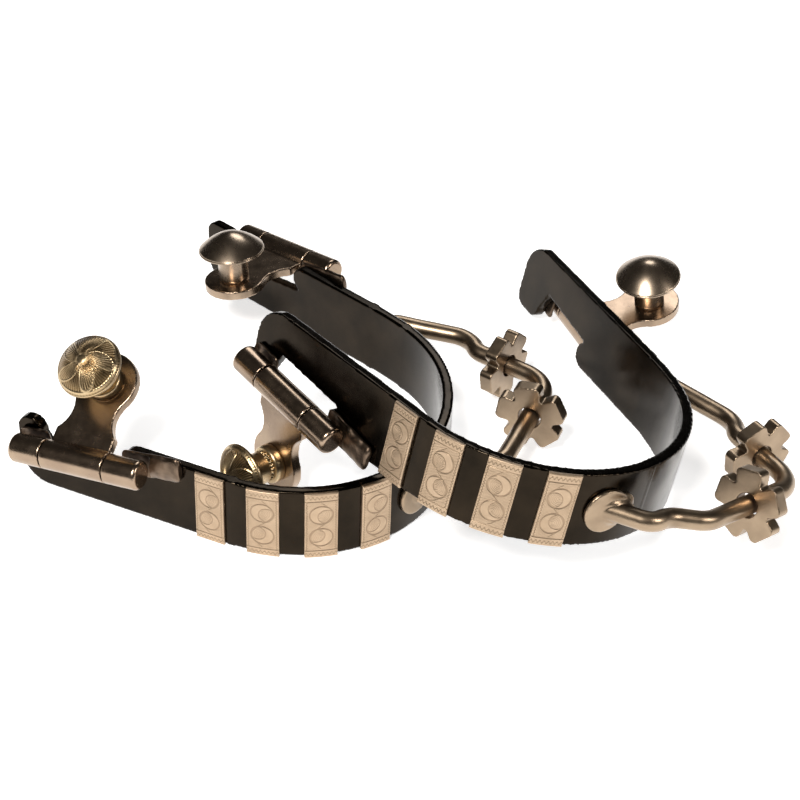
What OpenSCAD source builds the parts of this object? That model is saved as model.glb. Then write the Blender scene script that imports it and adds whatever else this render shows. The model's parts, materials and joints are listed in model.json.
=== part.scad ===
// A pair of horse-riding spurs with hinged strap buttons and twin clover rowels.
// The first spur lies flat and upside down; the second leans across its heel.

/* [Heel band] */
// width of the heel band strap
band_width = 19; // [15:0.5:25]
// thickness of the heel band strap
band_thickness = 2.6; // [2:0.1:3.5]
// bend radius of the heel towards the decorated outer arm
outer_heel_radius = 35; // [32:1:38]
// turn of the heel towards the outer arm, in degrees
outer_heel_turn = 94; // [90:1:98]
// bend radius of the heel towards the plain inner arm
inner_heel_radius = 44; // [42:1:48]
// turn of the heel towards the inner arm, in degrees
inner_heel_turn = 60; // [56:1:62]
// radius of the slow bend between the heel and the inner arm
shoulder_radius = 90; // [80:1:110]
// turn of that slow bend, in degrees
shoulder_turn = 8; // [4:1:10]
// straight length of the outer arm
outer_arm_length = 57.5; // [56:0.5:62]
// straight length of the inner arm
inner_arm_length = 62; // [60:0.5:68]

/* [Hinge notch] */
// distance from the heel bend to the notch lip on the outer arm
outer_lip = 28.5; // [26:0.5:30]
// distance from the heel bend to the notch lip on the inner arm
inner_lip = 28.5; // [26:0.5:30]
// clear length of the notch
notch_length = 19; // [18.5:0.5:22]
// height of the notch floor above the strap centre line at the hook
notch_floor_front = -0.2; // [-1:0.1:1]
// height of the notch floor above the strap centre line at the lip
notch_floor_rear = -2.6; // [-4:0.1:-2]
// radius of the rounded front corner
front_corner_radius = 8; // [6:0.5:9]

/* [Barrel hinge] */
// outside diameter of the hinge barrel
barrel_diameter = 7.2; // [6.4:0.1:8]
// gap between the barrel axis and the outer face of the arm
barrel_standoff = 5; // [4.6:0.1:6]
// length of the front fixed knuckle
front_knuckle_length = 8.6; // [7:0.1:9]
// length of the turning middle knuckle
middle_knuckle_length = 17; // [16:0.1:17.5]
// length of the rear fixed knuckle
rear_knuckle_length = 9; // [8:0.1:10]
// gap between neighbouring knuckles
knuckle_gap = 0.3; // [0.2:0.05:0.5]
// slope of the barrel against the strap edge, in degrees
barrel_slope = 6; // [3:0.5:8]
// height of the barrel centre above the strap centre line
barrel_height = -5.6; // [-6:0.1:-5]
// diameter of the hinge pin
pin_diameter = 3; // [2.4:0.1:3.6]
// radial running clearance between pin and middle knuckle
pin_clearance = 0.06; // [0.03:0.01:0.1]

/* [Button tab] */
// thickness of the tab plate
tab_thickness = 2.4; // [2:0.1:3]
// distance from the barrel axis to the button centre
tab_reach = 20; // [19:0.5:23]
// width of the tab where it leaves the knuckle
tab_root_width = 16; // [14:0.5:16.5]
// width of the tab waist
tab_waist_width = 11.5; // [10:0.5:13]
// radius of the round end of the tab
tab_end_radius = 8; // [7:0.1:9]

/* [Buttons] */
// diameter of the engraved brass button cap
brass_cap_diameter = 16; // [14:0.1:17]
// diameter of the plain steel button cap
steel_cap_diameter = 17.4; // [15:0.1:18]
// height of the button stem from the tab to the cap rim
stem_height = 8.5; // [7:0.1:10]
// diameter of the button stem
stem_diameter = 8; // [7:0.1:9]
// height of the domed cap above its rim
cap_dome_height = 4; // [3:0.1:5]

/* [Silver bars] */
// width of each engraved bar along the strap
bar_width = 7.5; // [6:0.1:8.5]
// spacing of the bars along the strap
bar_pitch = 13; // [12:0.1:13.5]
// distance along the strap from the heel centre to the first bar centre
first_bar = 23.5; // [22:0.1:25]
// thickness of each bar
bar_thickness = 0.9; // [0.6:0.1:1.2]

/* [Shank and rowels] */
// diameter of the shank rod
rod_diameter = 4.8; // [4.4:0.1:5]
// radius of the rowel to the ends of its lobes
rowel_radius = 8.8; // [8:0.1:9]
// thickness of a rowel
rowel_thickness = 3.6; // [3:0.1:4]
// width of one rowel lobe
lobe_width = 7; // [6.4:0.1:7.2]
// radial gap between the rod and the rowel bore
rowel_clearance = 0.5; // [0.4:0.05:0.7]

/* [Pose of the tabs] */
// swing of the first spur's brass-button tab, in degrees
first_brass_swing = -147; // [-160:1:-140]
// swing of the first spur's steel-button tab, in degrees
first_steel_swing = -180; // [-182:1:-175]
// swing of the second spur's brass-button tab, in degrees
second_brass_swing = -100; // [-105:1:-95]
// swing of the second spur's steel-button tab, in degrees
second_steel_swing = 24; // [20:1:28]

/* [Hidden] */
joint_swell = 0.05;
first_spur_place = [7.32, -28.53, band_width / 2 + joint_swell];
first_spur_turn = [0, 0, -19.1];
second_spur_place = [53.52, -53.03, 21.46];
second_spur_turn = [-12.5, 2.6, -43.4];
half_width = band_width / 2;
half_thickness = band_thickness / 2;
barrel_radius = barrel_diameter / 2;
rod_radius = rod_diameter / 2;
lobes = 5;
heel_flat = 1;
ring_swell = 0.15;
ring_length = 1;
nose_radius = (half_width + notch_floor_rear) / 2;
hook_tip_radius = 3.4;
hook_lean = 3;
knuckle_round = 1;
rivet_diameter = 5;
collar_radius = 4.8;
collar_height = 2.6;
groove_radius = 3.5;
groove_height = 0.8;
knob_radius = 1.6;
pad_thickness = 1.2;
pad_radius = 5.6;
inner_pad_place = 4;
rim_thickness = 1.2;
weld_radius = 2.4;
weld_round = 1.2;
weld_inset = 1;
lobe_round = 1.4;
lobe_root_width = 5.6;
rowel_core_radius = 6.1;
tab_side_radius = 7;
tab_side_x = tab_waist_width / 2 + tab_side_radius;
tab_side_y = tab_reach - sqrt(pow(tab_end_radius + tab_side_radius, 2) - pow(tab_side_x, 2));
tab_neck_y = tab_reach - (tab_reach - tab_side_y) * tab_end_radius / (tab_end_radius + tab_side_radius);
outer_face_radius = outer_heel_radius + half_thickness;
arc_length = outer_heel_radius * outer_heel_turn * PI / 180;
barrel_offset = half_thickness + barrel_standoff;
knuckle_start = middle_knuckle_length / 2 + knuckle_gap;

outer_root_place = [-1, -12, 0];
outer_root_heading = 30;
outer_root_run = 8.4;
knee_radius = 5;
outer_knee_turn = 60;
ankle_radius = 8;
outer_ankle_turn = -40;
shin_run = 4;
outer_foot_turn = 38;
outer_leg_run = 25.5;
loop_radius = 9;
loop_turn = 77;
inner_leg_run = 13.5;
inner_foot_turn = -40;
inner_ankle_turn = 58;
inner_ankle_run = 15;
inner_knee_turn = 42;
inner_root_run = 11;
first_outer_rowel_distance = 18;
first_outer_rowel_turn = 10;
first_inner_rowel_distance = 7;
first_inner_rowel_turn = 30;
second_outer_rowel_distance = 14;
second_outer_rowel_turn = 20;
second_inner_rowel_distance = 7;
second_inner_rowel_turn = 0;
black_steel = [0.16, 0.14, 0.13];
bright_steel = [0.62, 0.58, 0.54];
engraved_silver = [0.76, 0.70, 0.60];
engraved_brass = [0.76, 0.60, 0.32];
rod_sides = 48;
$fn = 96;

// The first spur is turned upside down, so its notches face up.
module first_spur() {
    translate(first_spur_place) rotate(first_spur_turn) mirror([0, 0, 1]) children();
}

module second_spur() {
    translate(second_spur_place) rotate(second_spur_turn) children();
}

module outer_bend_centre() {
    translate([-outer_heel_radius, -heel_flat / 2, 0]) children();
}

module inner_bend_centre() {
    translate([-inner_heel_radius, heel_flat / 2, 0]) children();
}

// In both arm frames x runs along the arm to its tip and y points away from the foot.
module outer_arm() {
    outer_bend_centre()
    rotate([0, 0, -outer_heel_turn])
    translate([outer_heel_radius, 0, 0])
    rotate([0, 0, -90])
    children();
}

module inner_arm() {
    mirror([0, 1, 0])
    translate([-inner_heel_radius, -heel_flat / 2, 0])
    rotate([0, 0, -inner_heel_turn])
    translate([inner_heel_radius - shoulder_radius, 0, 0])
    rotate([0, 0, -shoulder_turn])
    translate([shoulder_radius, 0, 0])
    rotate([0, 0, -90])
    children();
}

module strap_bend(radius, turn) {
    rotate_extrude(angle = turn)
    translate([radius - half_thickness, -half_width])
    square([band_thickness, band_width]);
}

// A low rib, a little larger than the strap, where two bends meet.
module strap_joint() {
    cube([band_thickness + 2 * joint_swell, 2 * heel_flat, band_width + 2 * joint_swell], center = true);
}

// Side view of one arm: a lip, the notch for the button tab, and the front hook.
module arm_outline(length, lip) {
    hook = lip + notch_length;
    hook_foot = hook + hook_lean;
    tip_radius = min(hook_tip_radius, (length - hook_foot) / 2);
    nose = lip - nose_radius;
    translate([0, -half_width]) square([nose, band_width]);
    translate([nose, nose_radius - half_width]) circle(r = nose_radius);
    polygon([
        [nose, notch_floor_rear],
        [hook, notch_floor_front],
        [hook, half_width],
        [nose, half_width]
    ]);
    polygon([
        [hook, notch_floor_front],
        [hook_foot, tip_radius - half_width],
        [length, tip_radius - half_width],
        [length, half_width - front_corner_radius],
        [length - front_corner_radius, half_width],
        [hook, half_width]
    ]);
    translate([hook_foot + tip_radius, tip_radius - half_width]) circle(r = tip_radius);
    translate([length - tip_radius, tip_radius - half_width]) circle(r = tip_radius);
    translate([hook_foot + tip_radius, -half_width])
    square([length - hook_foot - 2 * tip_radius + 0.001, tip_radius]);
    translate([length - front_corner_radius, half_width - front_corner_radius])
    intersection() {
        circle(r = front_corner_radius);
        square(front_corner_radius);
    }
}

module arm(length, lip) {
    rotate([0, 0, 90]) strap_joint();
    rotate([90, 0, 0])
    linear_extrude(height = band_thickness, center = true)
    arm_outline(length, lip);
}

module heel_band() {
    strap_joint();
    mirror([0, 1, 0])
    translate([-outer_heel_radius, heel_flat / 2, 0])
    strap_bend(outer_heel_radius, outer_heel_turn);
    inner_bend_centre()
    strap_bend(inner_heel_radius, inner_heel_turn);
    inner_bend_centre()
    rotate([0, 0, inner_heel_turn]) {
        translate([inner_heel_radius, 0, 0]) strap_joint();
        translate([inner_heel_radius - shoulder_radius, 0, 0])
        strap_bend(shoulder_radius, shoulder_turn);
    }
    outer_arm() arm(outer_arm_length, outer_lip);
    inner_arm() arm(inner_arm_length, inner_lip);
}

// One engraved bar on the bend of the heel, or on the straight of the outer arm.
module silver_bar(number) {
    centre = first_bar + number * bar_pitch;
    if (centre + bar_width / 2 < arc_length) {
        bar_angle = bar_width / outer_heel_radius * 180 / PI;
        centre_angle = centre / outer_heel_radius * 180 / PI;
        outer_bend_centre()
        rotate([0, 0, -centre_angle - bar_angle / 2])
        rotate_extrude(angle = bar_angle)
        translate([outer_face_radius, -half_width])
        square([bar_thickness, band_width]);
    } else {
        outer_arm()
        translate([centre - arc_length - bar_width / 2, half_thickness, -half_width])
        cube([bar_width, bar_thickness, band_width]);
    }
}

// Barrel frame: x along the barrel to the tip of the arm, centred on the middle knuckle.
module barrel(lip) {
    translate([lip + notch_length / 2, barrel_offset, barrel_height])
    rotate([0, -barrel_slope, 0])
    children();
}

// A fixed knuckle with a blind pin bore and a rounded outer end.
module fixed_knuckle(length) {
    translate([knuckle_start, 0, 0])
    rotate([0, 90, 0])
    rotate_extrude()
    difference() {
        union() {
            square([barrel_radius, length - knuckle_round]);
            square([barrel_radius - knuckle_round, length]);
            translate([barrel_radius - knuckle_round, length - knuckle_round])
            circle(r = knuckle_round);
        }
        translate([-1, -1]) square([pin_diameter / 2 + 1, length - knuckle_round]);
    }
}

module front_knuckle(lip) {
    barrel(lip) fixed_knuckle(front_knuckle_length);
}

module rear_knuckle(lip) {
    barrel(lip) mirror([1, 0, 0]) fixed_knuckle(rear_knuckle_length);
}

module hinge_pin(lip) {
    front_end = knuckle_start + front_knuckle_length - 2 * knuckle_round - 0.3;
    rear_end = knuckle_start + rear_knuckle_length - 2 * knuckle_round - 0.3;
    barrel(lip)
    translate([-rear_end, 0, 0])
    rotate([0, 90, 0])
    cylinder(h = front_end + rear_end, d = pin_diameter);
}

// Half section of a weld bead: a short bar with both ends rounded.
module weld_section(length) {
    translate([0, weld_round]) square([weld_radius, length - 2 * weld_round]);
    square([weld_radius - weld_round, length]);
    translate([weld_radius - weld_round, weld_round]) circle(r = weld_round);
    translate([weld_radius - weld_round, length - weld_round]) circle(r = weld_round);
}

// A weld bead between the barrel and the outer face of the arm.
module weld_bead(lip, start, length) {
    difference() {
        barrel(lip)
        translate([start, weld_radius / 2 - barrel_standoff, 0])
        rotate([0, 90, 0])
        rotate_extrude()
        weld_section(length);
        translate([-band_width, half_thickness - 2 * band_width, -band_width])
        cube([8 * band_width, 2 * band_width, 2 * band_width]);
        barrel(lip) rotate([0, 90, 0])
        cylinder(h = 2 * (knuckle_start + rear_knuckle_length), r = barrel_radius, center = true);
    }
}

module front_weld(lip) {
    weld_bead(lip, knuckle_start + weld_inset, front_knuckle_length);
}

module rear_weld(lip) {
    bead_length = rear_knuckle_length + 3 * weld_radius;
    weld_bead(lip, -knuckle_start - weld_inset - bead_length, bead_length);
}

// The button tab frame swings about the barrel; y points from the barrel to the button.
module tab_frame(lip, swing) {
    barrel(lip) rotate([swing, 0, 0]) children();
}

module tab_outline() {
    difference() {
        translate([-tab_root_width / 2, 0]) square([tab_root_width, tab_neck_y]);
        translate([tab_side_x, tab_side_y]) circle(r = tab_side_radius);
        translate([-tab_side_x, tab_side_y]) circle(r = tab_side_radius);
    }
    translate([0, tab_reach]) circle(r = tab_end_radius);
}

module button_tab(lip, swing) {
    tab_frame(lip, swing)
    difference() {
        union() {
            linear_extrude(height = tab_thickness, center = true) tab_outline();
            rotate([0, 90, 0])
            cylinder(h = middle_knuckle_length, r = barrel_radius, center = true);
        }
        rotate([0, 90, 0])
        cylinder(h = 2 * middle_knuckle_length, r = pin_diameter / 2 + pin_clearance, center = true);
        translate([0, tab_reach, 0])
        cylinder(h = 2 * tab_thickness, d = rivet_diameter, center = true);
    }
}

// Half section of a cap: a rim of even thickness under a ball-shaped dome.
module cap_section(diameter) {
    cap_radius = diameter / 2;
    ball_radius = (pow(cap_radius, 2) + pow(cap_dome_height, 2)) / (2 * cap_dome_height);
    translate([0, stem_height]) square([cap_radius, rim_thickness]);
    translate([0, stem_height + rim_thickness])
    intersection() {
        translate([0, cap_dome_height - ball_radius]) circle(r = ball_radius);
        square([cap_radius, cap_dome_height]);
    }
}

module rivet_section() {
    translate([0, -tab_thickness]) square([rivet_diameter / 2, tab_thickness]);
}

module brass_button(lip, swing) {
    tab_frame(lip, swing)
    translate([0, tab_reach, tab_thickness / 2])
    rotate_extrude() {
        rivet_section();
        square([collar_radius, collar_height]);
        square([groove_radius, collar_height + groove_height]);
        translate([0, collar_height + groove_height])
        square([stem_diameter / 2, stem_height - collar_height - groove_height]);
        cap_section(brass_cap_diameter);
        intersection() {
            translate([0, stem_height + rim_thickness + cap_dome_height - knob_radius / 2])
            circle(r = knob_radius);
            square([stem_diameter, 2 * stem_height]);
        }
    }
}

module steel_button(lip, swing) {
    tab_frame(lip, swing)
    translate([0, tab_reach, tab_thickness / 2])
    rotate_extrude() {
        rivet_section();
        square([stem_diameter / 2, stem_height]);
        cap_section(steel_cap_diameter);
    }
}

// Moves on by a straight run, or round a bend to the left, along the rod's centre line.
module after_run(length) {
    translate([length, 0, 0]) children();
}

module after_bend(radius, turn) {
    side = sign(turn);
    translate([0, side * radius, 0])
    rotate([0, 0, turn])
    translate([0, -side * radius, 0])
    children();
}

// A low ring, a little thicker than the rod, where two stretches meet.
module rod_joint() {
    rotate([0, 90, 0])
    cylinder(h = ring_length, r = rod_radius + ring_swell, center = true, $fn = rod_sides);
}

module rod_run(length) {
    rod_joint();
    rotate([0, 90, 0])
    cylinder(h = length, r = rod_radius, $fn = rod_sides);
}

module rod_bend(radius, turn) {
    rod_joint();
    mirror([0, turn < 0 ? 1 : 0, 0])
    translate([0, radius, 0])
    rotate([0, 0, -90])
    rotate_extrude(angle = abs(turn), $fn = rod_sides)
    translate([radius, 0])
    circle(r = rod_radius, $fn = rod_sides);
}

// The stages of the shank, from the outer pad, round the end loop, to the inner pad.
module outer_root() {
    translate(outer_root_place) rotate([0, 0, outer_root_heading]) children();
}

module outer_knee() {
    outer_root() after_run(outer_root_run) children();
}

module outer_ankle() {
    outer_knee() after_bend(knee_radius, outer_knee_turn) children();
}

module outer_shin() {
    outer_ankle() after_bend(ankle_radius, outer_ankle_turn) children();
}

module outer_foot() {
    outer_shin() after_run(shin_run) children();
}

module outer_leg() {
    outer_foot() after_bend(ankle_radius, outer_foot_turn) children();
}

module loop_start() {
    outer_leg() after_run(outer_leg_run) children();
}

module inner_leg() {
    loop_start() after_bend(loop_radius, loop_turn) children();
}

module inner_foot() {
    inner_leg() after_run(inner_leg_run) children();
}

module inner_shin() {
    inner_foot() after_bend(knee_radius, inner_foot_turn) children();
}

module inner_ankle() {
    inner_shin() after_bend(ankle_radius, inner_ankle_turn) children();
}

module inner_knee() {
    inner_ankle() after_run(inner_ankle_run) children();
}

module inner_root() {
    inner_knee() after_bend(knee_radius, inner_knee_turn) children();
}

module rod_line() {
    outer_root() rod_run(outer_root_run);
    outer_knee() rod_bend(knee_radius, outer_knee_turn);
    outer_ankle() rod_bend(ankle_radius, outer_ankle_turn);
    outer_shin() rod_run(shin_run);
    outer_foot() rod_bend(ankle_radius, outer_foot_turn);
    outer_leg() rod_run(outer_leg_run);
    loop_start() rod_bend(loop_radius, loop_turn);
    inner_leg() rod_run(inner_leg_run);
    inner_foot() rod_bend(knee_radius, inner_foot_turn);
    inner_shin() rod_bend(ankle_radius, inner_ankle_turn);
    inner_ankle() rod_run(inner_ankle_run);
    inner_knee() rod_bend(knee_radius, inner_knee_turn);
    inner_root() rod_run(inner_root_run);
}

// The two ends of the rod are shaped to sit on the band.
module shank_rod() {
    difference() {
        rod_line();
        outer_bend_centre()
        cylinder(h = band_width, r = outer_face_radius, center = true);
        inner_arm()
        translate([-band_width, half_thickness - band_width, -half_width])
        cube([3 * band_width, band_width, band_width]);
    }
}

module outer_pad() {
    pad_angle = atan(outer_root_place[1] / outer_heel_radius);
    difference() {
        outer_bend_centre()
        rotate([0, 0, pad_angle])
        intersection() {
            rotate([0, 0, -half_width])
            rotate_extrude(angle = band_width)
            translate([outer_face_radius, -half_width])
            square([pad_thickness, band_width]);
            rotate([0, 90, 0]) cylinder(h = 2 * outer_heel_radius, r = pad_radius);
        }
        rod_line();
    }
}

module inner_pad() {
    difference() {
        inner_arm()
        translate([inner_pad_place, half_thickness, 0])
        rotate([-90, 0, 0])
        cylinder(h = pad_thickness, r = pad_radius);
        rod_line();
    }
}

module rowel_lobe() {
    lobe_end = rowel_radius - lobe_round;
    half_lobe = lobe_width / 2;
    polygon([
        [0, -lobe_root_width / 2],
        [lobe_end, -half_lobe],
        [lobe_end, half_lobe],
        [0, lobe_root_width / 2]
    ]);
    translate([lobe_end, lobe_round - half_lobe])
    square([lobe_round, lobe_width - 2 * lobe_round]);
    translate([lobe_end, lobe_round - half_lobe]) circle(r = lobe_round);
    translate([lobe_end, half_lobe - lobe_round]) circle(r = lobe_round);
}

// A clover rowel threaded on one leg of the shank.
module rowel(distance, turn) {
    after_run(distance)
    rotate([0, 90, 0])
    rotate([0, 0, turn])
    linear_extrude(height = rowel_thickness, center = true)
    difference() {
        union() {
            circle(r = rowel_core_radius);
            for (lobe = [0 : lobes - 1]) {
                rotate(lobe * 360 / lobes) rowel_lobe();
            }
        }
        circle(r = rod_radius + rowel_clearance);
    }
}

module first_heel_band() {
    color(black_steel) first_spur() heel_band();
}

module first_silver_bar_1() {
    color(engraved_silver) first_spur() silver_bar(0);
}

module first_silver_bar_2() {
    color(engraved_silver) first_spur() silver_bar(1);
}

module first_silver_bar_3() {
    color(engraved_silver) first_spur() silver_bar(2);
}

module first_silver_bar_4() {
    color(engraved_silver) first_spur() silver_bar(3);
}

module first_shank_rod() {
    color(bright_steel) first_spur() shank_rod();
}

module first_outer_pad() {
    color(bright_steel) first_spur() outer_pad();
}

module first_inner_pad() {
    color(bright_steel) first_spur() inner_pad();
}

module first_outer_rowel() {
    color(bright_steel) first_spur() outer_leg() rowel(first_outer_rowel_distance, first_outer_rowel_turn);
}

module first_inner_rowel() {
    color(bright_steel) first_spur() inner_leg() rowel(first_inner_rowel_distance, first_inner_rowel_turn);
}

module first_outer_front_knuckle() {
    color(bright_steel) first_spur() outer_arm() front_knuckle(outer_lip);
}

module first_outer_rear_knuckle() {
    color(bright_steel) first_spur() outer_arm() rear_knuckle(outer_lip);
}

module first_outer_hinge_pin() {
    color(bright_steel) first_spur() outer_arm() hinge_pin(outer_lip);
}

module first_outer_front_weld() {
    color(bright_steel) first_spur() outer_arm() front_weld(outer_lip);
}

module first_outer_rear_weld() {
    color(bright_steel) first_spur() outer_arm() rear_weld(outer_lip);
}

module first_outer_button_tab() {
    color(bright_steel) first_spur() outer_arm() button_tab(outer_lip, first_brass_swing);
}

module first_brass_button() {
    color(engraved_brass) first_spur() outer_arm() brass_button(outer_lip, first_brass_swing);
}

module first_inner_front_knuckle() {
    color(bright_steel) first_spur() inner_arm() front_knuckle(inner_lip);
}

module first_inner_rear_knuckle() {
    color(bright_steel) first_spur() inner_arm() rear_knuckle(inner_lip);
}

module first_inner_hinge_pin() {
    color(bright_steel) first_spur() inner_arm() hinge_pin(inner_lip);
}

module first_inner_front_weld() {
    color(bright_steel) first_spur() inner_arm() front_weld(inner_lip);
}

module first_inner_rear_weld() {
    color(bright_steel) first_spur() inner_arm() rear_weld(inner_lip);
}

module first_inner_button_tab() {
    color(bright_steel) first_spur() inner_arm() button_tab(inner_lip, first_steel_swing);
}

module first_steel_button() {
    color(bright_steel) first_spur() inner_arm() steel_button(inner_lip, first_steel_swing);
}

module second_heel_band() {
    color(black_steel) second_spur() heel_band();
}

module second_silver_bar_1() {
    color(engraved_silver) second_spur() silver_bar(0);
}

module second_silver_bar_2() {
    color(engraved_silver) second_spur() silver_bar(1);
}

module second_silver_bar_3() {
    color(engraved_silver) second_spur() silver_bar(2);
}

module second_silver_bar_4() {
    color(engraved_silver) second_spur() silver_bar(3);
}

module second_shank_rod() {
    color(bright_steel) second_spur() shank_rod();
}

module second_outer_pad() {
    color(bright_steel) second_spur() outer_pad();
}

module second_inner_pad() {
    color(bright_steel) second_spur() inner_pad();
}

module second_outer_rowel() {
    color(bright_steel) second_spur() outer_leg() rowel(second_outer_rowel_distance, second_outer_rowel_turn);
}

module second_inner_rowel() {
    color(bright_steel) second_spur() inner_leg() rowel(second_inner_rowel_distance, second_inner_rowel_turn);
}

module second_outer_front_knuckle() {
    color(bright_steel) second_spur() outer_arm() front_knuckle(outer_lip);
}

module second_outer_rear_knuckle() {
    color(bright_steel) second_spur() outer_arm() rear_knuckle(outer_lip);
}

module second_outer_hinge_pin() {
    color(bright_steel) second_spur() outer_arm() hinge_pin(outer_lip);
}

module second_outer_front_weld() {
    color(bright_steel) second_spur() outer_arm() front_weld(outer_lip);
}

module second_outer_rear_weld() {
    color(bright_steel) second_spur() outer_arm() rear_weld(outer_lip);
}

module second_outer_button_tab() {
    color(bright_steel) second_spur() outer_arm() button_tab(outer_lip, second_brass_swing);
}

module second_brass_button() {
    color(engraved_brass) second_spur() outer_arm() brass_button(outer_lip, second_brass_swing);
}

module second_inner_front_knuckle() {
    color(bright_steel) second_spur() inner_arm() front_knuckle(inner_lip);
}

module second_inner_rear_knuckle() {
    color(bright_steel) second_spur() inner_arm() rear_knuckle(inner_lip);
}

module second_inner_hinge_pin() {
    color(bright_steel) second_spur() inner_arm() hinge_pin(inner_lip);
}

module second_inner_front_weld() {
    color(bright_steel) second_spur() inner_arm() front_weld(inner_lip);
}

module second_inner_rear_weld() {
    color(bright_steel) second_spur() inner_arm() rear_weld(inner_lip);
}

module second_inner_button_tab() {
    color(bright_steel) second_spur() inner_arm() button_tab(inner_lip, second_steel_swing);
}

module second_steel_button() {
    color(bright_steel) second_spur() inner_arm() steel_button(inner_lip, second_steel_swing);
}

first_heel_band();
first_silver_bar_1();
first_silver_bar_2();
first_silver_bar_3();
first_silver_bar_4();
first_shank_rod();
first_outer_pad();
first_inner_pad();
first_outer_rowel();
first_inner_rowel();
first_outer_front_knuckle();
first_outer_rear_knuckle();
first_outer_hinge_pin();
first_outer_front_weld();
first_outer_rear_weld();
first_outer_button_tab();
first_brass_button();
first_inner_front_knuckle();
first_inner_rear_knuckle();
first_inner_hinge_pin();
first_inner_front_weld();
first_inner_rear_weld();
first_inner_button_tab();
first_steel_button();
second_heel_band();
second_silver_bar_1();
second_silver_bar_2();
second_silver_bar_3();
second_silver_bar_4();
second_shank_rod();
second_outer_pad();
second_inner_pad();
second_outer_rowel();
second_inner_rowel();
second_outer_front_knuckle();
second_outer_rear_knuckle();
second_outer_hinge_pin();
second_outer_front_weld();
second_outer_rear_weld();
second_outer_button_tab();
second_brass_button();
second_inner_front_knuckle();
second_inner_rear_knuckle();
second_inner_hinge_pin();
second_inner_front_weld();
second_inner_rear_weld();
second_inner_button_tab();
second_steel_button();
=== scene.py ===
import json
import math

import bmesh
import bpy
import numpy as np
from mathutils import Matrix, Vector, noise


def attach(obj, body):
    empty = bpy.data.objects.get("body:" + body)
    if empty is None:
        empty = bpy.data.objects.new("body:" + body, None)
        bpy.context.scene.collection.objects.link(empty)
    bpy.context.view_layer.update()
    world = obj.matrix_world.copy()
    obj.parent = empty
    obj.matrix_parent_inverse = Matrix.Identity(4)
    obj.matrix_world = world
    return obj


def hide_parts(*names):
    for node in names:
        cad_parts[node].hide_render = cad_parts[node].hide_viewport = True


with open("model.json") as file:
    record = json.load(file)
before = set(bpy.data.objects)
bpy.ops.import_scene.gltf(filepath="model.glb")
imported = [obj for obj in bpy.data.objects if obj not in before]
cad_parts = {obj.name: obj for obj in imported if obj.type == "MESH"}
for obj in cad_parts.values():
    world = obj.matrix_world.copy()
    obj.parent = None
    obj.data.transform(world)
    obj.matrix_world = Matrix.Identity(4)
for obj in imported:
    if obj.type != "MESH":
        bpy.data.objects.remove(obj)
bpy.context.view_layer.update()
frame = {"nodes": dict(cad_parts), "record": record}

MM = 0.001
record = frame["record"]
joints = {joint["name"]: joint for joint in record["behaviour"]["joints"]}
mounts = {mount["name"]: mount for mount in record["mounts"]}
body_of_node = {n: body for body, names in record["behaviour"]["bodies"].items() for n in names}
slot_of_node = {part["node"]: part["material_slot"] for part in record["subparts"]}

# ---- sizes in millimetres and turns in degrees, as in the CAD design
HEEL_RADIUS = 35.0
OUTER_TURN = 94.0
HEEL_ARC = HEEL_RADIUS * math.radians(OUTER_TURN)
INNER_RADIUS = 44.0
INNER_TURN = 60.0
SHOULDER_RADIUS = 90.0
SHOULDER_TURN = 8.0
HEEL_FLAT = 1.0
ROD_RADIUS = 2.4
ROD_START = (-1.0, -12.0)
ROD_HEADING = 30.0
# the rod's straight runs (length, 0) and bends (radius, turn in degrees), in order
ROD_STAGES = [(8.4, 0), (5, 60), (8, -40), (4, 0), (8, 38), (25.5, 0), (9, 77), (13.5, 0),
              (5, -40), (8, 58), (15, 0), (5, 42), (11, 0)]
PAD_ANGLE = math.atan2(ROD_START[1], HEEL_RADIUS)
HALF_STRAP = 1.3
HALF_WIDTH = 9.5
BARREL_ALONG = 38.0
BARREL_OUT = 6.3
BARREL_DROP = 5.6
BAR_WIDTH = 7.5
BAR_THICKNESS = 0.9
FIRST_BAR = 23.5
BAR_PITCH = 13.0
BARS = 4
STEM_HEIGHT = 8.5
STEM_RADIUS = 4.0
RIM_THICKNESS = 1.2
THIN_LIP = 0.6
LENS_DROP = RIM_THICKNESS - THIN_LIP
DOME_HEIGHT = 4.0
BRASS_RADIUS = 8.0
STEEL_RADIUS = 8.7
TAB_THICKNESS = 2.4
RIVET_RADIUS = 2.5
MOUNT_HEIGHT = 5.0

# ---- how close corners of a mesh are joined, in metres
SPLIT_CORNER = 2e-6
SAME_PLACE = 1e-7

# ---- finish of the worn pieces: lengths in millimetres, and shares
SNAP = 0.22
ARM_START = -0.6
ROD_STEP = 0.2
ROD_SNAP = 0.36
ROD_WEAR = 0.05
ROD_FLATS = 0.07
ROD_FLAT_SIZE = 6.0
FLARE_SINK = -0.4
FLARE_HEIGHT = 4.2
FLARE_WIDTH = 2.7
FLARE_LEVELS = 14
FLARE_SIDES = 48
FLARE_FALL = 3
FLARE_UNEVEN = 0.75
FLARE_LUMP_SCALE = 0.9
FLARE_TALL = 1.25
FLARE_TUCK = 0.1
WELD_PRESS = 0.6
WELD_SPREAD = 1.5


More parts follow.
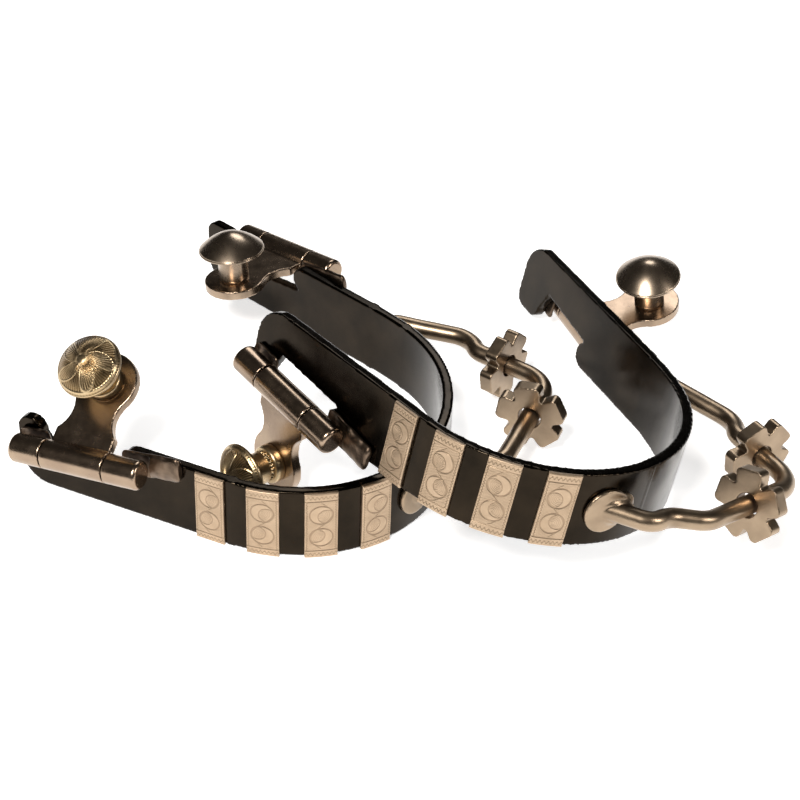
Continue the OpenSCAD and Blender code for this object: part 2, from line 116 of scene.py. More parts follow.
# ---- materials
class Nodes:
    """A short way to add shader nodes and link them."""

    def __init__(self, name):
        self.material = bpy.data.materials.new(name)
        self.material.use_nodes = True
        self.tree = self.material.node_tree
        self.shader = self.tree.nodes["Principled BSDF"]
        self.place = self.add("ShaderNodeTexCoord").outputs["Object"]

    def add(self, kind, **inputs):
        node = self.tree.nodes.new(kind)
        for name, value in inputs.items():
            self.put(value, node.inputs[name])
        return node

    def put(self, value, socket):
        if isinstance(value, bpy.types.NodeSocket):
            self.tree.links.new(value, socket)
        else:
            socket.default_value = value

    def noise(self, scale, detail=3.0, rough=0.55, place=None):
        node = self.add("ShaderNodeTexNoise", Vector=place or self.place, Scale=scale,
                        Detail=detail, Roughness=rough)
        return node.outputs["Fac"]

    def ramp(self, value, low, high, out_low=0.0, out_high=1.0):
        node = self.add("ShaderNodeMapRange", Value=value)
        node.inputs["From Min"].default_value = low
        node.inputs["From Max"].default_value = high
        node.inputs["To Min"].default_value = out_low
        node.inputs["To Max"].default_value = out_high
        return node.outputs["Result"]

    def mix(self, share, first, second):
        node = self.add("ShaderNodeMix")
        node.data_type = "RGBA"
        factor, first_colour, second_colour = node.inputs[0], node.inputs[6], node.inputs[7]
        self.put(share, factor)
        self.put(first, first_colour)
        self.put(second, second_colour)
        return node.outputs[2]

    def stretched(self, along, across):
        node = self.add("ShaderNodeMapping", Vector=self.place)
        node.inputs["Scale"].default_value = (along, across, across)
        return node.outputs["Vector"]

    def bump(self, height, strength, distance, normal=None):
        node = self.add("ShaderNodeBump", Height=height, Strength=strength, Distance=distance)
        if normal is not None:
            self.put(normal, node.inputs["Normal"])
        return node.outputs["Normal"]


def colour(red, green, blue):
    return (red, green, blue, 1.0)


SPECK_SCALE = 9
SPECK_START = 0.66
SPECK_FULL = 0.74
SMEAR_SCALE = 2.5
DENT_SCALE = 5
SCRATCH_SCALE = 60.0
SCRATCH_DEPTH = 0.00006
CROSS_DEPTH = 0.00005
DENT_DEPTH = 0.00012


def worn_metal(name, light, dark, stain, shine, grain, scratch, stained, carved=None):
    """A metal with uneven tone, fine scratches, specks of stain and, where carved, darker grooves.

    shine is the lowest and highest roughness, grain the scale of the uneven tone, scratch the
    strength of the scratches, and a larger stained gives more specks."""
    n = Nodes(name)
    tone = n.mix(n.ramp(n.noise(grain, 4.0), 0.3, 0.7), dark, light)
    specks = n.ramp(n.noise(grain * SPECK_SCALE, 5.0, 0.7), SPECK_START - stained, SPECK_FULL - stained)
    tone = n.mix(specks, tone, stain)
    if carved is not None:
        depth = n.add("ShaderNodeAttribute")
        depth.attribute_name = "carved"
        tone = n.mix(n.ramp(depth.outputs["Fac"], 0.05, 0.8), tone, carved)
    n.put(tone, n.shader.inputs["Base Color"])
    n.shader.inputs["Metallic"].default_value = 1.0
    smear = n.noise(grain * SMEAR_SCALE, 5.0, 0.65)
    n.put(n.ramp(smear, 0.25, 0.75, shine[0], shine[1]), n.shader.inputs["Roughness"])
    lines = n.noise(SCRATCH_SCALE, 2.0, 0.5, n.stretched(4.0, 90.0))
    cross = n.noise(SCRATCH_SCALE, 2.0, 0.5, n.stretched(70.0, 5.0))
    fine = n.bump(lines, scratch, SCRATCH_DEPTH)
    fine = n.bump(cross, scratch * 0.6, CROSS_DEPTH, fine)
    fine = n.bump(n.noise(grain * DENT_SCALE, 4.0), scratch * 0.9, DENT_DEPTH, fine)
    n.put(fine, n.shader.inputs["Normal"])
    return n.material


# slot: light, dark, stain, shine, grain, scratch, stained and, for the engraved ones, carved
METALS = {
    "blackened_steel": (colour(0.027, 0.020, 0.0135), colour(0.014, 0.011, 0.008),
                        colour(0.10, 0.07, 0.045), (0.12, 0.24), 90.0, 0.015, -0.06),
    "polished_steel": (colour(0.36, 0.272, 0.188), colour(0.255, 0.19, 0.13),
                       colour(0.10, 0.07, 0.045), (0.27, 0.40), 160.0, 0.05, -0.04),
    "hinge_steel": (colour(0.37, 0.28, 0.20), colour(0.28, 0.205, 0.15),
                    colour(0.10, 0.06, 0.04), (0.19, 0.30), 120.0, 0.05, -0.05),
    "button_steel": (colour(0.44, 0.35, 0.265), colour(0.34, 0.265, 0.195),
                     colour(0.16, 0.11, 0.08), (0.22, 0.32), 70.0, 0.02, -0.12),
    "weld_steel": (colour(0.22, 0.16, 0.115), colour(0.06, 0.042, 0.03),
                   colour(0.07, 0.035, 0.02), (0.26, 0.42), 260.0, 0.16, 0.0),
    "engraved_silver": (colour(0.50, 0.375, 0.26), colour(0.40, 0.295, 0.20),
                        colour(0.28, 0.20, 0.13), (0.36, 0.50), 240.0, 0.12, -0.05,
                        colour(0.31, 0.225, 0.15)),
    "engraved_brass": (colour(0.58, 0.45, 0.28), colour(0.46, 0.34, 0.19),
                       colour(0.22, 0.14, 0.06), (0.24, 0.38), 200.0, 0.08, -0.05,
                       colour(0.17, 0.11, 0.05)),
}
FINISHES = {slot: worn_metal(slot, *look) for slot, look in METALS.items()}


# ---- building pieces
def add_piece(mesh, node, *others):
    """Puts a mesh in the scene in place of CAD nodes, with the first node's body, slot and finish."""
    piece = bpy.data.objects.new(node + "_piece", mesh)
    bpy.context.scene.collection.objects.link(piece)
    mesh.materials.clear()
    mesh.materials.append(FINISHES[slot_of_node[node]])
    mesh.polygons.foreach_set("use_smooth", [True] * len(mesh.polygons))
    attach(piece, body_of_node[node])
    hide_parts(node, *others)
    return piece


def evaluated_mesh(mesh, modifiers):
    """The mesh after a list of (kind, settings) modifiers."""
    source = bpy.data.objects.new("work", mesh)
    bpy.context.scene.collection.objects.link(source)
    for kind, settings in modifiers:
        modifier = source.modifiers.new(kind.lower(), kind)
        for name, value in settings.items():
            setattr(modifier, name, value)
    view = bpy.context.evaluated_depsgraph_get()
    result = bpy.data.meshes.new_from_object(source.evaluated_get(view))
    bpy.data.objects.remove(source)
    return result


def welded_copy(nodes, extra):
    """The CAD nodes' own meshes and some extra ones together, each a closed skin with joined corners."""
    mesh = bpy.data.meshes.new("copy")
    work = bmesh.new()
    for other in extra:
        work.from_mesh(other)
    for node in nodes:
        work.from_mesh(frame["nodes"][node].data)
    bmesh.ops.remove_doubles(work, verts=work.verts, dist=SPLIT_CORNER)
    work.to_mesh(mesh)
    work.free()
    return mesh


def mesh_places(mesh):
    """The places of a mesh's corners, one row each."""
    places = np.empty(len(mesh.vertices) * 3)
    mesh.vertices.foreach_get("co", places)
    return places.reshape(-1, 3)


def move_places(mesh, places):
    """Moves a mesh's corners to new places."""
    mesh.vertices.foreach_set("co", places.ravel())
    mesh.update()


def hand_worn(nodes, voxel, rounds, lump=0.0, lump_size=4.0, extra=()):
    """The CAD shapes as one skin with softened corners and slightly uneven, hand-finished surfaces."""
    mesh = evaluated_mesh(welded_copy(nodes, extra), [
        ("REMESH", {"mode": "VOXEL", "voxel_size": voxel * MM, "adaptivity": 0.0}),
        ("SMOOTH", {"factor": 0.5, "iterations": rounds}),
    ])
    if lump > 0:
        places = mesh_places(mesh)
        normals = np.empty(len(places) * 3)
        mesh.vertex_normals.foreach_get("vector", normals)
        spots = places / (lump_size * MM)
        dips = np.array([noise.noise(Vector(spot)) for spot in spots])
        places -= normals.reshape(-1, 3) * ((dips + 1) / 2 * lump * MM)[:, None]
        move_places(mesh, places)
    return add_piece(mesh, *nodes)


def quads(corner, wrap_columns):
    """Four-cornered faces over a grid of corner numbers."""
    right = np.roll(corner, -1, axis=1) if wrap_columns else corner[:, 1:]
    left = corner if wrap_columns else corner[:, :-1]
    return np.stack([left[:-1], right[:-1], right[1:], left[1:]], axis=-1).reshape(-1, 4).tolist()


def closed_skin(name, places, faces, carved=None):
    """A mesh with its repeated corners joined and every face turned outward."""
    mesh = bpy.data.meshes.new(name)
    mesh.from_pydata(places.reshape(-1, 3).tolist(), [], faces)
    if carved is not None:
        mesh.attributes.new("carved", "FLOAT", "POINT").data.foreach_set("value", carved.ravel())
    work = bmesh.new()
    work.from_mesh(mesh)
    bmesh.ops.remove_doubles(work, verts=work.verts, dist=SAME_PLACE)
    bmesh.ops.recalc_face_normals(work, faces=work.faces)
    work.to_mesh(mesh)
    work.free()
    return mesh


def corner_numbers(points):
    """The number of each corner in a rows x columns grid of points."""
    rows, columns = points.shape[:2]
    return np.arange(rows * columns).reshape(rows, columns)


# ---- frames of the spurs, from the CAD joints
def arm_frame(spur, side):
    """Origin and axes of an arm: x to its tip, y away from the foot, z across the strap."""
    other = "inner" if side == "outer" else "outer"
    hinge = Vector(joints[f"{spur}_{side}_hinge"]["pos_m"])
    barrel = Vector(joints[f"{spur}_{side}_hinge"]["axis"])
    far_hinge = Vector(joints[f"{spur}_{other}_hinge"]["pos_m"])
    shank = joints[spur + "_outer_rowel_spin"]
    across = Vector(shank["axis"]).cross(Vector(joints[spur + "_inner_rowel_spin"]["axis"])).normalized()
    if across.dot(hinge - Vector(shank["pos_m"])) > 0:
        across = -across
    along = (barrel - across * barrel.dot(across)).normalized()
    if along.dot(hinge - Vector(shank["pos_m"])) < 0:
        along = -along
    outward = across.cross(along)
    if outward.dot(hinge - far_hinge) < 0:
        outward = -outward
    origin = hinge - along * BARREL_ALONG * MM - outward * BARREL_OUT * MM + across * BARREL_DROP * MM
    return origin, along, outward, across


# ---- engraved silver bars
def groove(distance, half_width):
    """1 in the middle of a groove and 0 outside it, with soft sides."""
    return np.clip(1.6 - 1.6 * np.abs(distance) / half_width, 0, 1)


# ---- layout of the engraving, in millimetres from the middle of a bar's face
CIRCLE_PLACE = 3.3
CIRCLE_RADIUS = 2.6
CIRCLE_CUT = 0.22
SMALL_SIDE = 1.1
SMALL_DROP = 0.5
SMALL_RADIUS = 1.9
SMALL_CUT = 0.14
RING_PITCH = 0.4
RING_CUT = 0.13
ZIGZAG_PLACE = 8.0
ZIGZAG_HEIGHT = 0.8
ZIGZAG_CUT = 0.17
TOOTH_WIDTH = 0.95
END_LINE = 7.35
END_LINE_CUT = 0.14
SIDE_LINE = 3.2
SIDE_LINE_END = 7.3
SIDE_LINE_CUT = 0.13
WAVE = 0.14
WAVE_LENGTH = 0.75
PANEL_END = 7.1
SWEEP_SIDE = 2.5
SWEEP_END = 6.9
SWEEP_LIMIT = 2.8
SWEEP_CUT = 0.15
LEAF_RADIUS = 2.7
LEAF_LIMIT = 2.9
HATCH_SLOPE = 0.7
HATCH_PITCH = 0.42
HATCH_CUT = 0.09
FINE_DEPTH = 0.45


def scroll(u, v, centre, sense):
    """A circle of the scroll, and in it a smaller one with fine rings, which leaves a smooth crescent."""
    x = u * sense
    y = (v - centre) * sense
    radius = np.hypot(x, y)
    small = np.hypot(x - SMALL_SIDE, y + SMALL_DROP)
    offset = np.mod(radius / RING_PITCH, 1.0) - 0.5
    in_rim = radius < CIRCLE_RADIUS - 0.2
    in_small = small <= SMALL_RADIUS
    lines = groove(offset * RING_PITCH, RING_CUT) * in_rim * in_small * FINE_DEPTH
    rim = groove(radius - CIRCLE_RADIUS, CIRCLE_CUT)
    small_rim = groove(small - SMALL_RADIUS, SMALL_CUT) * (radius < CIRCLE_RADIUS - 0.1) * 0.8
    return np.maximum(np.maximum(lines, rim), small_rim)


def engraving(u, v):
    """Depth of the engraving, from 0 to 1, over the face of a bar."""
    height = np.abs(v)
    tooth = np.abs(np.mod(u / TOOTH_WIDTH, 1.0) - 0.5) * 2
    cuts = groove(height - ZIGZAG_PLACE - tooth * ZIGZAG_HEIGHT, ZIGZAG_CUT)
    cuts = np.maximum(cuts, groove(height - END_LINE, END_LINE_CUT))
    wriggle = np.abs(u) - SIDE_LINE - WAVE * np.sin(2 * math.pi * v / WAVE_LENGTH)
    cuts = np.maximum(cuts, groove(wriggle, SIDE_LINE_CUT) * (height < SIDE_LINE_END))
    panel = height < PANEL_END
    cuts = np.maximum(cuts, scroll(u, v, CIRCLE_PLACE, 1) * panel)
    cuts = np.maximum(cuts, scroll(u, v, -CIRCLE_PLACE, -1) * panel)
    sweep = u - SWEEP_SIDE * np.sin(v * math.pi / SWEEP_END)
    in_sweep = (height < SWEEP_END) * (np.abs(u) < SWEEP_LIMIT)
    cuts = np.maximum(cuts, groove(sweep, SWEEP_CUT) * in_sweep)
    leaf = (np.hypot(u, height - CIRCLE_PLACE) > LEAF_RADIUS) & panel & (np.abs(u) < LEAF_LIMIT)
    hatch = groove(np.mod(u * HATCH_SLOPE + v, HATCH_PITCH) - HATCH_PITCH / 2, HATCH_CUT) * FINE_DEPTH
    return np.maximum(cuts, hatch * leaf)


BAR_COLUMNS = 100
BAR_ROWS = 240
BAR_SHOULDER = 0.35
BAR_CUT_DEPTH = 0.11


def silver_bar(spur, number):
    """A bar wrapped round the strap, with rounded shoulders and its engraving cut into the face."""
    node = f"{spur}_silver_bar_{number + 1}"
    origin, along, outward, across = arm_frame(spur, "outer")
    centre = FIRST_BAR + number * BAR_PITCH
    u, v = np.meshgrid(np.linspace(-BAR_WIDTH / 2, BAR_WIDTH / 2, BAR_COLUMNS),
                       np.linspace(-HALF_WIDTH, HALF_WIDTH, BAR_ROWS), indexing="ij")
    cuts = engraving(u, v)
    to_side = np.minimum(BAR_WIDTH / 2 - np.abs(u), HALF_WIDTH - np.abs(v))
    past = np.clip(BAR_SHOULDER - to_side, 0, BAR_SHOULDER)
    drop = BAR_SHOULDER - np.sqrt(np.clip(BAR_SHOULDER ** 2 - past ** 2, 0, None))
    height = BAR_THICKNESS - drop - BAR_CUT_DEPTH * cuts
    u = np.pad(u, 1, mode="edge")
    v = np.pad(v, 1, mode="edge")
    height = np.pad(height, 1)
    cuts = np.pad(cuts, 1)
    run = centre + u - HEEL_ARC
    angle = np.minimum(run, 0) / HEEL_RADIUS
    radius = HEEL_RADIUS + HALF_STRAP + height
    straight = np.maximum(run, 0)
    x = straight + radius * np.sin(angle)
    y = radius * np.cos(angle) - HEEL_RADIUS
    axes = np.array([along, outward, across])
    points = np.array(origin) + (np.stack([x, y, v], axis=-1) @ axes) * MM
    corner = corner_numbers(points)
    back = [*corner[0, :], *corner[1:, -1], *corner[-1, -2::-1], *corner[-2:0:-1, 0]]
    return add_piece(closed_skin(node, points, quads(corner, False) + [back], cuts), node)


# ---- buttons
LENS_POWER = 1.75
PETALS = 5
PETAL_CURL = 0.06
PETAL_FOOT = 1.2
PETAL_RIDGE = 0.28
PETAL_DEPTH = 0.26
FLUTES = 13
CAP_EDGE = 0.55
CAP_RIDGE = 0.3
BOSS_RADIUS = 0.9
BOSS_HEIGHT = 0.12
BEADS = 26
BEAD_RADIUS = 3.5
BEAD_HEIGHT = 0.3


def dome(radius, cap_radius):
    """Height of the ball-shaped dome above the top of the rim."""
    ball = (cap_radius ** 2 + DOME_HEIGHT ** 2) / (2 * DOME_HEIGHT)
    return np.sqrt(np.clip(ball ** 2 - radius ** 2, 0, None)) - (ball - DOME_HEIGHT)


def lens(radius, cap_radius):
    """Height of the fuller, softly pointed dome of the steel cap, down to its thin lip."""
    share = radius / cap_radius
    return (DOME_HEIGHT + LENS_DROP) * (1 - share ** LENS_POWER) - LENS_DROP


def sunburst(radius, turn, cap_radius):
    """Depth of the petals and flutes on the brass dome, from 0 to 1."""
    place = np.mod(turn * PETALS + PETAL_CURL * radius, 1.0) * 2 - 1
    edge = PETAL_FOOT + (cap_radius - 2.0) * (1 - np.abs(place) ** 2.0)
    outline = np.exp(-((radius - edge) / PETAL_RIDGE) ** 2)
    flutes = 0.5 - 0.5 * np.cos(2 * math.pi * turn * PETALS * FLUTES)
    inside = 0.25 + 0.55 * flutes
    outside = 0.55 + 0.45 * flutes
    depth = np.where(radius < edge, inside, outside)
    depth = depth * (1 - outline)
    depth = depth * (1 - np.exp(-((radius - cap_radius + CAP_EDGE) / CAP_RIDGE) ** 2))
    return depth * np.clip((radius - 1.0) / 0.8, 0, 1)


def button_profile(cap_radius, engraved, cap_steps):
    """Points (radius, height) from the top of the cap, down the stem, to the foot of the rivet."""
    top = STEM_HEIGHT + RIM_THICKNESS
    rise = dome if engraved else lens
    lip = (RIM_THICKNESS if engraved else THIN_LIP) / 2
    profile = [(r, top + rise(r, cap_radius)) for r in np.linspace(0, cap_radius - 0.12, cap_steps)]
    profile += [(cap_radius - lip + lip * math.cos(a), STEM_HEIGHT + lip + lip * math.sin(a))
                for a in np.linspace(1.35, -1.45, 12)]
    profile += [(cap_radius * share, STEM_HEIGHT) for share in (0.88, 0.76, 0.64)]
    if engraved:
        profile += [(STEM_RADIUS + 0.3, STEM_HEIGHT), (STEM_RADIUS, STEM_HEIGHT - 0.4), (STEM_RADIUS, 3.9),
                    (3.85, 3.55), (BEAD_RADIUS, 3.4)]
        profile += [(BEAD_RADIUS + 0.25 * math.sin(a), 3.4 - 0.8 * a / math.pi)
                    for a in np.linspace(0.2, math.pi, 9)]
        profile += [(4.0, 2.6), (4.5, 2.5), (4.75, 2.1), (4.8, 1.6), (4.8, 0.5), (4.7, 0.0)]
    else:
        profile += [(STEM_RADIUS + 0.5, STEM_HEIGHT), (STEM_RADIUS, STEM_HEIGHT - 0.6), (STEM_RADIUS, 1.0),
                    (STEM_RADIUS, 0.0)]
    profile += [(RIVET_RADIUS, 0.0), (RIVET_RADIUS, -TAB_THICKNESS + 0.3),
                (RIVET_RADIUS - 0.3, -TAB_THICKNESS), (0.0, -TAB_THICKNESS)]
    return np.array(profile)


def button(spur, metal, cap_radius, engraved):
    """A button on its tab, turned from its profile; the brass one has petals and a row of beads."""
    node = f"{spur}_{metal}_button"
    mount = mounts[f"{spur}_{metal}_strap_button"]
    axis = Vector(mount["axis"]).normalized()
    tab = "outer" if engraved else "inner"
    side = Vector(joints[f"{spur}_{tab}_hinge"]["axis"])
    side = (side - axis * side.dot(axis)).normalized()
    third = axis.cross(side)
    foot = Vector(mount["pos_m"]) - axis * MOUNT_HEIGHT * MM
    cap_steps = 110 if engraved else 48
    around = 432 if engraved else 144
    profile = button_profile(cap_radius, engraved, cap_steps)
    turn = np.arange(around) / around
    radius = profile[:, 0][:, None] + 0 * turn
    height = profile[:, 1][:, None] + 0 * turn
    carved = 0 * radius
    if engraved:
        on_cap = (np.arange(len(profile)) < cap_steps)[:, None]
        carved = sunburst(radius, turn[None, :], cap_radius) * on_cap
        height = height - PETAL_DEPTH * carved * on_cap
        boss = np.exp(-(radius / BOSS_RADIUS) ** 4) * on_cap
        height = height + BOSS_HEIGHT * boss
        bead = (height > 2.65) & (height < 3.4) & (radius < 3.9) & ~on_cap
        beads = 0.5 + 0.5 * np.cos(2 * math.pi * turn * BEADS)[None, :]
        radius = radius + bead * BEAD_HEIGHT * beads
        carved = np.where(bead, 1 - beads, carved)
    angle = 2 * math.pi * turn[None, :]
    x = radius * np.cos(angle)
    y = radius * np.sin(angle)
    axes = np.array([side, third, axis])
    points = np.array(foot) + (np.stack([x, y, height], axis=-1) @ axes) * MM
    return add_piece(closed_skin(node, points, quads(corner_numbers(points), True), carved), node)


# ---- heel band and welds
def true_bend(flat, centre, radius, start, turn):
    """Moves points near one face of a bend on to its true circle, in the plane of the bend."""
    away = flat - np.array(centre)
    distance = np.hypot(away[:, 0], away[:, 1])
    angle = np.degrees(np.arctan2(away[:, 1], away[:, 0]))
    within = (angle >= start) & (angle <= start + turn)
    share = np.clip((SNAP - np.abs(distance - radius)) / (SNAP / 2), 0, 1) * within
    wanted = distance + (radius - distance) * share
    flat[:] = np.array(centre) + away * (wanted / distance)[:, None]


def heel_frame(spur):
    """Centre of the heel's outer bend in millimetres, and axes: x back through the heel, y inward."""
    origin, along, outward, across = arm_frame(spur, "outer")
    back = math.radians(90 - OUTER_TURN)
    heelward = -along * math.cos(back) + outward * math.sin(back)
    sideways = -along * math.sin(back) - outward * math.cos(back)
    return np.array(origin - outward * HEEL_RADIUS * MM) / MM, np.array([heelward, sideways, across])


def true_arm(spur, side, places):
    """Moves points near the faces of a straight arm, and near its edges, on to true planes."""
    origin, along, outward, across = arm_frame(spur, side)
    axes = np.array([along, outward, across])
    local = (places - np.array(origin) / MM) @ axes.T
    ahead = local[:, 0] > ARM_START
    for axis, half in ((1, HALF_STRAP), (2, HALF_WIDTH)):
        off = np.abs(local[:, axis]) - half
        share = np.clip((SNAP - np.abs(off)) / (SNAP / 2), 0, 1) * ahead
        local[:, axis] -= np.sign(local[:, axis]) * off * share
    return local @ axes + np.array(origin) / MM


def heel_band(spur):
    """The worn band, with the facets of its bends turned into true circles."""
    piece = hand_worn([f"{spur}_heel_band"], voxel=0.36, rounds=5)
    outer_centre, axes = heel_frame(spur)
    places = true_arm(spur, "inner", true_arm(spur, "outer", mesh_places(piece.data) / MM))
    local = (places - outer_centre) @ axes.T
    edge = np.abs(local[:, 2]) - HALF_WIDTH
    local[:, 2] -= np.sign(local[:, 2]) * np.clip(edge, 0, None)
    flat = local[:, :2].copy()
    inner_centre = np.array([HEEL_RADIUS - INNER_RADIUS, HEEL_FLAT])
    swing = math.radians(INNER_TURN)
    past = INNER_RADIUS - SHOULDER_RADIUS
    shoulder_centre = inner_centre + past * np.array([math.cos(swing), math.sin(swing)])
    for face in (-HALF_STRAP, HALF_STRAP):
        true_bend(flat, (0, 0), HEEL_RADIUS + face, -OUTER_TURN, OUTER_TURN)
        true_bend(flat, inner_centre, INNER_RADIUS + face, 0, INNER_TURN)
        true_bend(flat, shoulder_centre, SHOULDER_RADIUS + face, INNER_TURN, SHOULDER_TURN)
    local[:, :2] = flat
    move_places(piece.data, (local @ axes + outer_centre) * MM)


def flattened_weld(spur, side, end):
    """A weld pressed flat against the band, and spread up and down it."""
    piece = hand_worn([f"{spur}_{side}_{end}_weld"], voxel=0.2, rounds=12, lump=0.4, lump_size=2.2)
    origin, along, outward, across = arm_frame(spur, side)
    places = mesh_places(piece.data) / MM
    axes = np.array([along, outward, across])
    local = (places - np.array(origin) / MM) @ axes.T
    middle = (local[:, 2].max() + local[:, 2].min()) / 2
    local[:, 1] = HALF_STRAP + (local[:, 1] - HALF_STRAP) * WELD_PRESS
    local[:, 2] = middle + (local[:, 2] - middle) * WELD_SPREAD
    move_places(piece.data, (local @ axes) * MM + np.array(origin))


# ---- shank
def rod_line():
    """Points and headings along the middle of the rod, in the heel frame."""
    place = np.array([ROD_START[0] + HEEL_RADIUS, ROD_START[1] + HEEL_FLAT / 2])
    heading = math.radians(ROD_HEADING)
    line = [(place[0], place[1], heading)]
    for size, turn in ROD_STAGES:
        length = size if turn == 0 else size * math.radians(abs(turn))
        steps = math.ceil(length / ROD_STEP)
        for _ in range(steps):
            heading += math.radians(turn) / steps / 2
            place = place + length / steps * np.array([math.cos(heading), math.sin(heading)])
            heading += math.radians(turn) / steps / 2
            line.append((place[0], place[1], heading))
    return np.array(line)


def flared_foot(centre, normal, rod_place, rod_heading, seed):
    """A weld that spreads from the rod on to the band, as rings of points in the heel frame.

    centre and normal give the band's face, and seed picks the weld's uneven outline."""
    tangent = np.array([-normal[1], normal[0]])
    ahead = np.array([math.cos(rod_heading), math.sin(rod_heading)])
    slope = abs(ahead @ normal)
    core = ROD_RADIUS - FLARE_TUCK
    rings = []
    for height in np.linspace(FLARE_SINK, FLARE_HEIGHT, FLARE_LEVELS):
        reach = (height - (rod_place - centre) @ normal) / (ahead @ normal)
        middle = rod_place + ahead * reach
        spread = FLARE_WIDTH * (1 - max(height, 0) / FLARE_HEIGHT) ** FLARE_FALL
        ring = []
        for turn in np.linspace(0, 2 * math.pi, FLARE_SIDES, endpoint=False):
            away = np.array([math.cos(turn), math.sin(turn)])
            spot = Vector((away[0] * FLARE_LUMP_SCALE, away[1] * FLARE_LUMP_SCALE, seed))
            uneven = 1 + FLARE_UNEVEN * noise.noise(spot)
            side_reach = away[0] * (core / slope + spread * uneven)
            up_reach = away[1] * (core + spread * FLARE_TALL * uneven)
            flat = middle + tangent * side_reach
            ring.append((flat[0], flat[1], up_reach))
        rings.append(ring)
    return np.array(rings)


def ring_mesh(rings):
    """A closed skin over a stack of rings."""
    corner = corner_numbers(rings)
    faces = quads(corner, True) + [corner[0, ::-1].tolist(), corner[-1].tolist()]
    return closed_skin("foot", rings, faces)


def nearest_on_line(local, line):
    """For each place, the number of the nearest point of the line, seen along the strap's width."""
    nearest = np.zeros(len(local), dtype=int)
    best = np.full(len(local), np.inf)
    for number, (x, y, _) in enumerate(line):
        distance = (local[:, 0] - x) ** 2 + (local[:, 1] - y) ** 2
        closer = distance < best
        best[closer] = distance[closer]
        nearest[closer] = number
    return nearest


def shank(spur):
    """The rod and its two pads as one skin, the rod made truly round and each pad flared."""
    centre, axes = heel_frame(spur)
    line = rod_line()
    inner_origin, _, inner_normal, _ = arm_frame(spur, "inner")
    inner_centre = axes @ (np.array(inner_origin) / MM - centre)
    inner_normal = axes @ np.array(inner_normal)
    outer_normal = np.array([math.cos(PAD_ANGLE), math.sin(PAD_ANGLE)])
    outer_face = outer_normal * (HEEL_RADIUS + HALF_STRAP)
    inner_face = inner_centre[:2] + inner_normal[:2] * HALF_STRAP
    feet = [flared_foot(outer_face, outer_normal, line[0, :2], line[0, 2], seed=1.7),
            flared_foot(inner_face, inner_normal[:2], line[-1, :2], line[-1, 2] + math.pi, seed=5.3)]
    extra = [ring_mesh((rings @ axes + centre) * MM) for rings in feet]
    nodes = [f"{spur}_shank_rod", f"{spur}_outer_pad", f"{spur}_inner_pad"]
    piece = hand_worn(nodes, voxel=0.28, rounds=14, extra=extra)
    local = (mesh_places(piece.data) / MM - centre) @ axes.T
    nearest = nearest_on_line(local, line)
    middle = np.column_stack([line[nearest, 0], line[nearest, 1], np.zeros(len(local))])
    side = np.column_stack([-np.sin(line[nearest, 2]), np.cos(line[nearest, 2]), np.zeros(len(local))])
    reach = np.einsum("ij,ij->i", local - middle, side)
    distance = np.hypot(reach, local[:, 2])
    share = np.clip((ROD_SNAP - np.abs(distance - ROD_RADIUS)) / (ROD_SNAP / 2), 0, 1)
    flats = np.array([noise.noise(Vector(spot)) for spot in local / ROD_FLAT_SIZE])
    wanted = distance + (ROD_RADIUS - ROD_WEAR + ROD_FLATS * flats - distance) * share
    ratio = wanted / np.maximum(distance, 0.1) - 1
    local += side * (reach * ratio)[:, None]
    local[:, 2] *= 1 + ratio
    move_places(piece.data, (local @ axes + centre) * MM)


# ---- every part of each spur
for spur in ("first", "second"):
    heel_band(spur)
    shank(spur)
    for side in ("outer", "inner"):
        hand_worn([f"{spur}_{side}_rowel"], voxel=0.2, rounds=5, lump=0.10, lump_size=3.5)
        hand_worn([f"{spur}_{side}_button_tab"], voxel=0.22, rounds=4, lump=0.04, lump_size=6.0)
        for end in ("front", "rear"):
            hand_worn([f"{spur}_{side}_{end}_knuckle"], voxel=0.2, rounds=4, lump=0.03, lump_size=5.0)
            flattened_weld(spur, side, end)
        pin = frame["nodes"][f"{spur}_{side}_hinge_pin"].data
        pin.materials.clear()
        pin.materials.append(FINISHES["hinge_steel"])
    for number in range(BARS):
        silver_bar(spur, number)
    button(spur, "brass", BRASS_RADIUS, True)
    button(spur, "steel", STEEL_RADIUS, False)

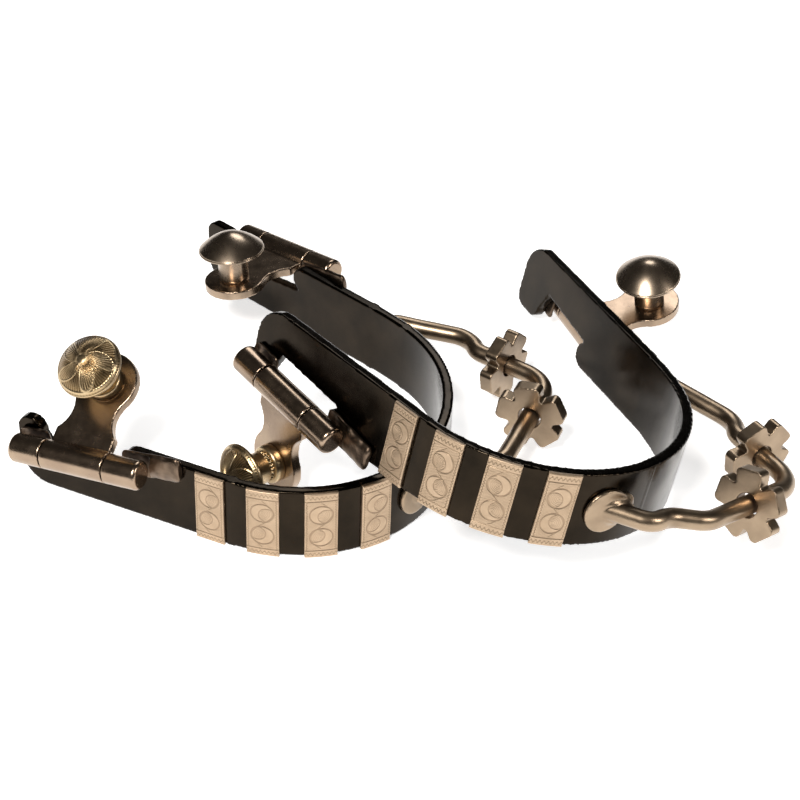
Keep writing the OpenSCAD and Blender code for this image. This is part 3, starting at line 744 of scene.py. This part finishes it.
# ---- floor
FLOOR_HALF = 2.5
FLOOR_DROP = 0.0002
FLOOR_GLOW = 0.72
floor_mesh = bpy.data.meshes.new("floor")
corners = [(-FLOOR_HALF, -FLOOR_HALF), (FLOOR_HALF, -FLOOR_HALF),
           (FLOOR_HALF, FLOOR_HALF), (-FLOOR_HALF, FLOOR_HALF)]
floor_mesh.from_pydata([(x, y, -FLOOR_DROP) for x, y in corners], [], [(0, 1, 2, 3)])
floor = bpy.data.objects.new("floor", floor_mesh)
bpy.context.scene.collection.objects.link(floor)
paper = Nodes("pale_floor")
paper.put(paper.mix(paper.noise(6.0), colour(0.90, 0.90, 0.90), colour(0.93, 0.93, 0.93)),
          paper.shader.inputs["Base Color"])
paper.shader.inputs["Roughness"].default_value = 0.9
paper.shader.inputs["Emission Color"].default_value = colour(1.0, 1.0, 1.0)
paper.shader.inputs["Emission Strength"].default_value = FLOOR_GLOW
floor_mesh.materials.append(paper.material)


# ---- lights
def soft_light(name, place, size, power, tint):
    lamp = bpy.data.lights.new(name, "AREA")
    lamp.shape = "DISK"
    lamp.size = size
    lamp.energy = power
    lamp.color = tint
    light = bpy.data.objects.new(name, lamp)
    light.location = place
    light.rotation_euler = (Vector((0, 0, 0)) - Vector(place)).to_track_quat("-Z", "Y").to_euler()
    bpy.context.scene.collection.objects.link(light)


soft_light("key", (-0.25, -0.55, 0.75), 0.28, 9.0, (1.0, 0.97, 0.93))
soft_light("side", (0.8, -0.35, 0.55), 0.30, 3.0, (1.0, 0.95, 0.90))
soft_light("back", (0.1, 0.8, 0.8), 0.5, 2.5, (1.0, 1.0, 1.0))
world = bpy.data.worlds.new("studio")
world.use_nodes = True
background = world.node_tree.nodes["Background"]
background.inputs["Color"].default_value = colour(0.75, 0.70, 0.65)
background.inputs["Strength"].default_value = 0.035
bpy.context.scene.world = world
bpy.context.scene.view_settings.view_transform = "Standard"

# ---- camera, at the photograph's viewing angle
ELEVATION = math.radians(36.55)
DISTANCE = 498.76 * MM
TARGET = Vector((-1.81, 9.0, 0.05)) * MM
ROLL = math.radians(2.35)
SENSOR_WIDTH = 36.0
FOCAL_LENGTH = 86.2
right = Vector((1, 0, 0))
forward = Vector((0, math.cos(ELEVATION), -math.sin(ELEVATION)))
up = Vector((0, math.sin(ELEVATION), math.cos(ELEVATION)))
camera_x = right * math.cos(ROLL) + up * math.sin(ROLL)
camera_y = up * math.cos(ROLL) - right * math.sin(ROLL)
turned = Matrix((camera_x, camera_y, -forward)).transposed().to_4x4()
optics = bpy.data.cameras.new("camera")
optics.sensor_width = SENSOR_WIDTH
optics.lens = FOCAL_LENGTH
optics.clip_start = 0.01
camera = bpy.data.objects.new("camera", optics)
camera.matrix_world = Matrix.Translation(TARGET - forward * DISTANCE) @ turned
bpy.context.scene.collection.objects.link(camera)
bpy.context.scene.camera = camera
